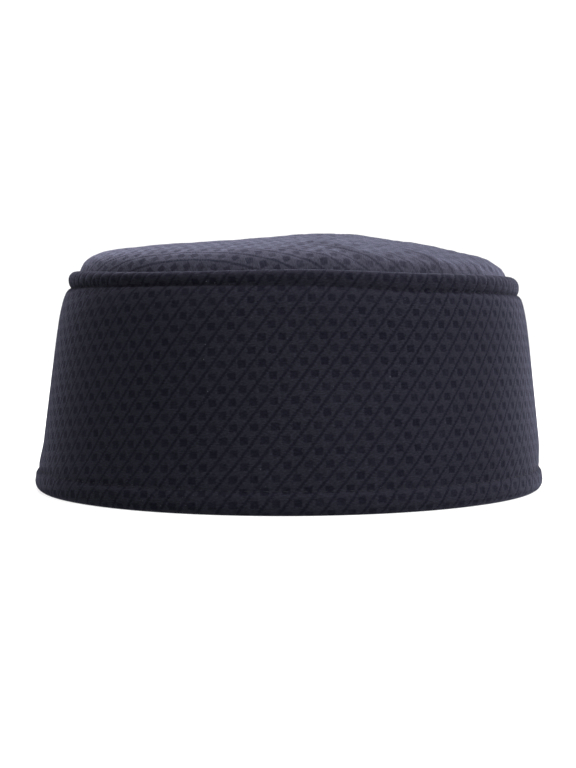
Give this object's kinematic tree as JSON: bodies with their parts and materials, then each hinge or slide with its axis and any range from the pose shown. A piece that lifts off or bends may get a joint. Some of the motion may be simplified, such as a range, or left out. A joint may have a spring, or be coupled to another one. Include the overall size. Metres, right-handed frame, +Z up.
{
  "type": "kufi cap",
  "caption": "Brimless round cap: an oval band of heavy navy damask with a turned hem and a stitched welt, closed by a soft, slightly domed crown.",
  "frame": {"origin": "middle of the hem, on the surface that the cap rests on", "axes": "+Z up through the crown, Y along the oval's long axis, front to back of the head, X across it"},
  "size_m": [0.183, 0.194, 0.0907],
  "materials": {
    "band_cloth": "matt navy damask with small dark squares and slanting dark lines",
    "crown_cloth": "the same navy damask, lighter where it is seen at a low angle"
  },
  "bodies": {
    "root": {"side_band": "band_cloth", "crown": "crown_cloth"}
  },
  "joints": []
}
